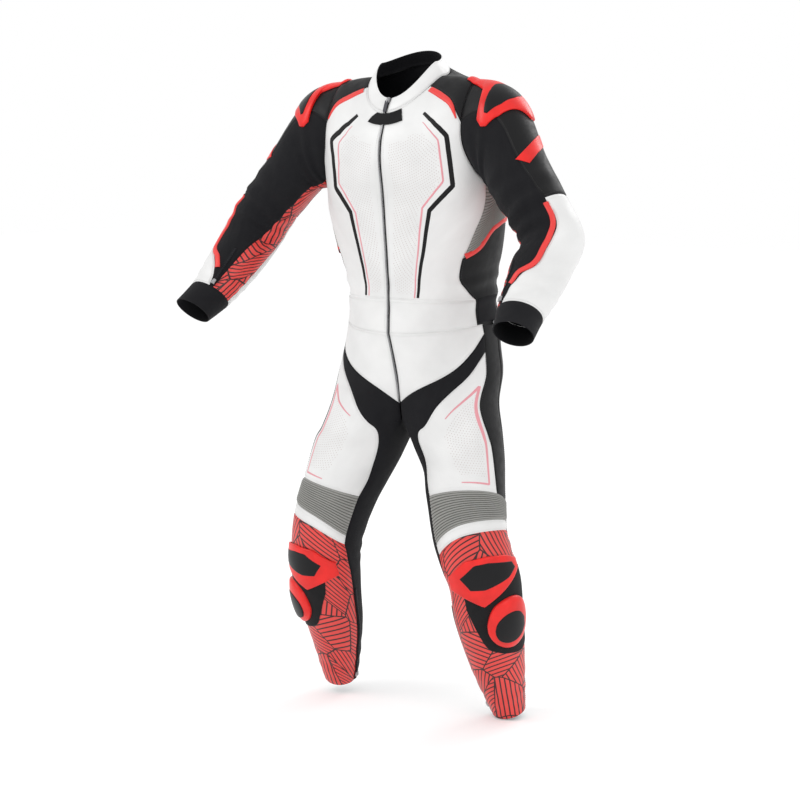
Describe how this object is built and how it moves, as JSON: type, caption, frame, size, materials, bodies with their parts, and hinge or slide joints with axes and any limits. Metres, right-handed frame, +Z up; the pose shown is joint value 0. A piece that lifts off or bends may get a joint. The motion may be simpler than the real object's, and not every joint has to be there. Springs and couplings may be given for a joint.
{
  "type": "motorcycle race suit",
  "caption": "Two-piece leather race suit, jacket zipped to trousers, hollow as worn, with stretch panels, shoulder cups and knee sliders.",
  "frame": {"origin": "middle of the neck base between the shoulders, where the wearer holds the suit up", "axes": "+Z up, -Y the front of the suit, +X the wearer's left"},
  "size_m": [0.876, 0.419, 1.3794],
  "materials": {
    "white_leather": "smooth, semi-matt",
    "black_leather": "smooth, satin",
    "black_stretch": "fine matt weave",
    "grey_stretch": "ribbed, matt",
    "red_leather": "printed with dark bars, semi-matt",
    "red_guard": "smooth moulded, satin",
    "zip_tape": "woven tape, matt",
    "zip_metal": "satin"
  },
  "bodies": {
    "suit": {"front_L": "white_leather", "hem_band_L": "white_leather", "yoke_L": "black_leather", "side_stretch_L": "grey_stretch", "lower_side_L": "black_leather", "front_R": "white_leather", "hem_band_R": "white_leather", "yoke_R": "black_leather", "side_stretch_R": "grey_stretch", "lower_side_R": "black_leather", "back": "black_leather", "collar": "white_leather", "main_zip": "zip_tape", "upper_sleeve_L": "black_leather", "forearm_L": "white_leather", "sleeve_stretch_L": "black_stretch", "under_sleeve_L": "red_leather", "cuff_L": "black_stretch", "upper_sleeve_R": "black_leather", "forearm_R": "white_leather", "sleeve_stretch_R": "black_stretch", "under_sleeve_R": "red_leather", "cuff_R": "black_stretch", "trouser_front_L": "white_leather", "inner_stretch_L": "black_stretch", "thigh_front_L": "white_leather", "outer_strip_L": "black_leather", "seat_L": "black_leather", "knee_accordion_L": "grey_stretch", "knee_band_L": "white_leather", "shin_L": "red_leather", "trouser_front_R": "white_leather", "inner_stretch_R": "black_stretch", "thigh_front_R": "white_leather", "outer_strip_R": "black_leather", "seat_R": "black_leather", "knee_accordion_R": "grey_stretch", "knee_band_R": "white_leather", "shin_R": "red_leather", "fly_zip": "zip_tape", "yoke_strip_L": "red_guard", "side_strip_L": "red_leather", "forearm_piping_L": "red_leather", "sleeve_bar_L": "red_guard", "shoulder_cup_L": "red_guard", "knee_badge_L": "red_guard", "knee_field_L": "black_stretch", "knee_slider_L": "red_guard", "yoke_strip_R": "red_guard", "side_strip_R": "red_leather", "forearm_piping_R": "red_leather", "sleeve_bar_R": "red_guard", "shoulder_cup_R": "red_guard", "knee_badge_R": "red_guard", "knee_field_R": "black_stretch", "knee_slider_R": "red_guard", "throat_tab": "black_leather", "waist_zip_slider": "zip_metal"},
    "main_pull": {"main_zip_pull": "zip_metal"},
    "waist_pull": {"waist_zip_pull": "zip_metal"}
  },
  "joints": [
    {"name": "main_pull_swing", "type": "hinge", "parent": "suit", "child": "main_pull", "pos_m": [0, -0.11984, -0.02867], "axis": [-1, 0.0006, -0.0005], "range_deg": [0, 150]},
    {"name": "waist_pull_swing", "type": "hinge", "parent": "suit", "child": "waist_pull", "pos_m": [0.17073, 0.02856, -0.47759], "axis": [-0.1093, 0.0177, 0.9938], "range_deg": [0, 150]}
  ]
}
